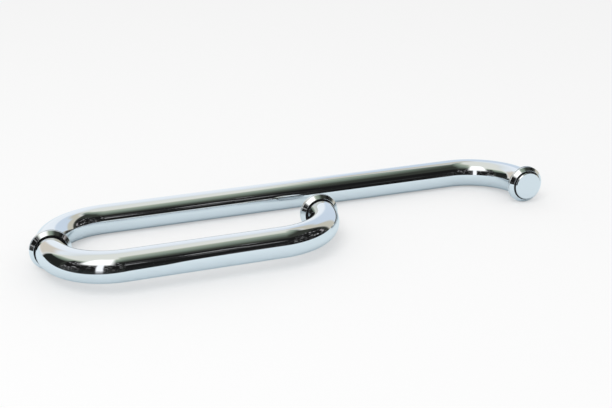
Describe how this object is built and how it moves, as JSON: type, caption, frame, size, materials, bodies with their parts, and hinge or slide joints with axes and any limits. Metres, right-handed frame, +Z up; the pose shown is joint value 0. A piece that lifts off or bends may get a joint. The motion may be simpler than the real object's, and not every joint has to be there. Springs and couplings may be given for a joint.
{
  "type": "glass door pull handle",
  "caption": "Back-to-back set for a glass shower door: a long bent tubular towel bar and a short bent pull handle, joined by round through-glass fixings.",
  "frame": {"origin": "centre of the left fixing, which the bar and the handle share, on the middle plane of the glass", "axes": "+X along the towel bar towards its far end, +Y through the glass from the pull handle to the towel bar, +Z up, square to the flat of both bent tubes"},
  "size_m": [0.458, 0.135, 0.033],
  "materials": {
    "polished_tube": "mirror polished chrome plate with a few fine scratches",
    "polished_ring": "mirror polished chrome plate, turned",
    "polished_cap": "mirror polished chrome plate, flat face",
    "black_seal": "matt black soft plastic",
    "clear_pad": "clear soft vinyl, slightly milky",
    "nylon_bush": "natural white nylon",
    "plain_steel": "plain machined steel"
  },
  "bodies": {
    "root": {"towel_bar_tube": "polished_tube", "pull_handle_tube": "polished_tube", "bar_insert_left": "plain_steel", "bar_insert_right": "plain_steel", "handle_insert_left": "plain_steel", "handle_insert_middle": "plain_steel", "bar_ring_left": "polished_ring", "handle_ring_left": "polished_ring", "cap_ring_middle": "polished_ring", "handle_ring_middle": "polished_ring", "bar_ring_right": "polished_ring", "cap_ring_right": "polished_ring", "bar_seal_left": "black_seal", "handle_seal_left": "black_seal", "cap_seal_middle": "black_seal", "handle_seal_middle": "black_seal", "bar_seal_right": "black_seal", "cap_seal_right": "black_seal", "bar_pad_left": "clear_pad", "handle_pad_left": "clear_pad", "cap_pad_middle": "clear_pad", "handle_pad_middle": "clear_pad", "bar_pad_right": "clear_pad", "cap_pad_right": "clear_pad", "bush_left": "nylon_bush", "bush_middle": "nylon_bush", "bush_right": "nylon_bush", "stud_left": "plain_steel", "cap_middle": "polished_cap", "cap_right": "polished_cap", "grub_screw": "plain_steel"}
  },
  "joints": []
}
